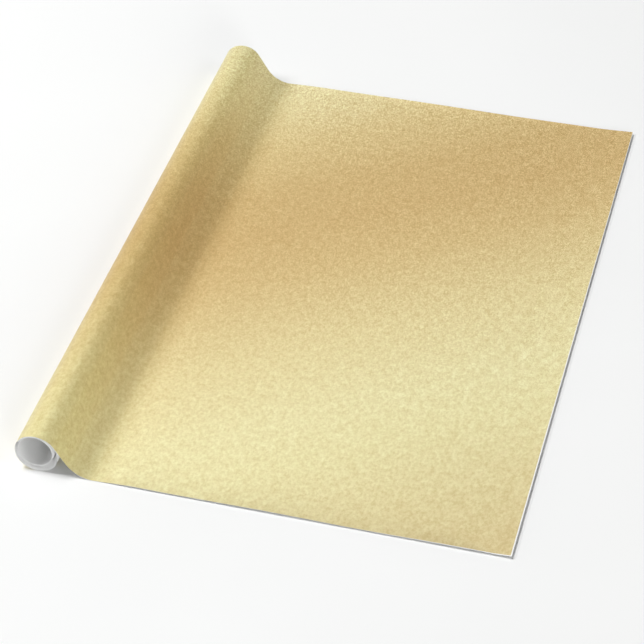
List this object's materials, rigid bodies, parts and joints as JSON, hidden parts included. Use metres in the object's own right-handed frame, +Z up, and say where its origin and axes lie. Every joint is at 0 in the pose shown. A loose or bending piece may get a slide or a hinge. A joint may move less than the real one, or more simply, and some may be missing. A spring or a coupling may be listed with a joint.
{
  "type": "wrapping paper roll",
  "caption": "Coreless roll of gold-faced, white-backed gift-wrapping paper, loosely wound, with its end drawn off over the top and laid flat.",
  "frame": {"origin": "centre of the footprint of the roll and its unrolled end, on the surface that they lie on", "axes": "+X from the roll towards the loose edge, +Y along the roll's length, +Z up"},
  "size_m": [0.524, 0.762, 0.047],
  "materials": {
    "white_base": "matt, uncoated",
    "gold_face": "satin metallic, finely mottled"
  },
  "bodies": {
    "root": {"turn_8_base": "white_base", "turn_8_face": "gold_face", "turn_9_base": "white_base", "turn_9_face": "gold_face", "turn_10_base": "white_base", "turn_10_face": "gold_face", "turn_11_base": "white_base", "turn_11_face": "gold_face", "lead_out_base": "white_base", "lead_out_face": "gold_face", "foot_1_base": "white_base", "foot_1_face": "gold_face", "foot_2_base": "white_base", "foot_2_face": "gold_face", "foot_3_base": "white_base", "foot_3_face": "gold_face", "foot_4_base": "white_base", "foot_4_face": "gold_face"},
    "turn_7": {"turn_7_base": "white_base", "turn_7_face": "gold_face"},
    "turn_6": {"turn_6_base": "white_base", "turn_6_face": "gold_face"},
    "turn_5": {"turn_5_base": "white_base", "turn_5_face": "gold_face"},
    "turn_4": {"turn_4_base": "white_base", "turn_4_face": "gold_face"},
    "turn_3": {"turn_3_base": "white_base", "turn_3_face": "gold_face"},
    "turn_2": {"turn_2_base": "white_base", "turn_2_face": "gold_face"},
    "turn_1": {"turn_1_base": "white_base", "turn_1_face": "gold_face"},
    "sheet": {"sheet_base": "white_base", "sheet_face": "gold_face"},
    "loose_end_1": {"loose_end_1_base": "white_base", "loose_end_1_face": "gold_face"},
    "loose_end_2": {"loose_end_2_base": "white_base", "loose_end_2_face": "gold_face"},
    "loose_end_3": {"loose_end_3_base": "white_base", "loose_end_3_face": "gold_face"},
    "loose_end_4": {"loose_end_4_base": "white_base", "loose_end_4_face": "gold_face"},
    "loose_end_5": {"loose_end_5_base": "white_base", "loose_end_5_face": "gold_face"},
    "loose_end_6": {"loose_end_6_base": "white_base", "loose_end_6_face": "gold_face"}
  },
  "joints": [
    {"name": "pull_out", "type": "slide", "parent": "root", "child": "sheet", "axis": [1, 0, 0], "range_m": [0, 1.36]},
    {"name": "coil_turn", "type": "hinge", "parent": "root", "child": "turn_7", "pos_m": [-0.24004, 0, 0.02548], "axis": [0, 1, 0], "range_deg": [0, 3860]},
    {"name": "telescope_6", "type": "slide", "parent": "turn_7", "child": "turn_6", "axis": [0, -1, 0], "range_m": [-0.004, 0.004]},
    {"name": "telescope_5", "type": "slide", "parent": "turn_6", "child": "turn_5", "axis": [0, -1, 0], "range_m": [-0.004, 0.004]},
    {"name": "telescope_4", "type": "slide", "parent": "turn_5", "child": "turn_4", "axis": [0, -1, 0], "range_m": [-0.004, 0.004]},
    {"name": "telescope_3", "type": "slide", "parent": "turn_4", "child": "turn_3", "axis": [0, -1, 0], "range_m": [-0.004, 0.004]},
    {"name": "telescope_2", "type": "slide", "parent": "turn_3", "child": "turn_2", "axis": [0, -1, 0], "range_m": [-0.004, 0.004]},
    {"name": "telescope_1", "type": "slide", "parent": "turn_2", "child": "turn_1", "axis": [0, -1, 0], "range_m": [-0.004, 0.004]},
    {"name": "end_lift_1", "type": "hinge", "parent": "sheet", "child": "loose_end_1", "pos_m": [0.02203, 0, 0.00015], "axis": [0, -1, 0], "range_deg": [0, 18]},
    {"name": "end_lift_2", "type": "hinge", "parent": "loose_end_1", "child": "loose_end_2", "pos_m": [0.06203, 0, 0.00015], "axis": [0, -1, 0], "range_deg": [0, 18]},
    {"name": "end_lift_3", "type": "hinge", "parent": "loose_end_2", "child": "loose_end_3", "pos_m": [0.10203, 0, 0.00015], "axis": [0, -1, 0], "range_deg": [0, 18]},
    {"name": "end_lift_4", "type": "hinge", "parent": "loose_end_3", "child": "loose_end_4", "pos_m": [0.14203, 0, 0.00015], "axis": [0, -1, 0], "range_deg": [0, 18]},
    {"name": "end_lift_5", "type": "hinge", "parent": "loose_end_4", "child": "loose_end_5", "pos_m": [0.18203, 0, 0.00015], "axis": [0, -1, 0], "range_deg": [0, 18]},
    {"name": "end_lift_6", "type": "hinge", "parent": "loose_end_5", "child": "loose_end_6", "pos_m": [0.22203, 0, 0.00015], "axis": [0, -1, 0], "range_deg": [0, 18]}
  ],
  "couplings": [
    {"joint": "coil_turn", "follows": "pull_out", "rad_per_m": 49.5},
    {"joint": "telescope_5", "follows": "telescope_6", "ratio": 1},
    {"joint": "telescope_4", "follows": "telescope_6", "ratio": 1},
    {"joint": "telescope_3", "follows": "telescope_6", "ratio": 1},
    {"joint": "telescope_2", "follows": "telescope_6", "ratio": 1},
    {"joint": "telescope_1", "follows": "telescope_6", "ratio": 1},
    {"joint": "end_lift_2", "follows": "end_lift_1", "ratio": 1},
    {"joint": "end_lift_3", "follows": "end_lift_1", "ratio": 1},
    {"joint": "end_lift_4", "follows": "end_lift_1", "ratio": 1},
    {"joint": "end_lift_5", "follows": "end_lift_1", "ratio": 1},
    {"joint": "end_lift_6", "follows": "end_lift_1", "ratio": 1}
  ]
}
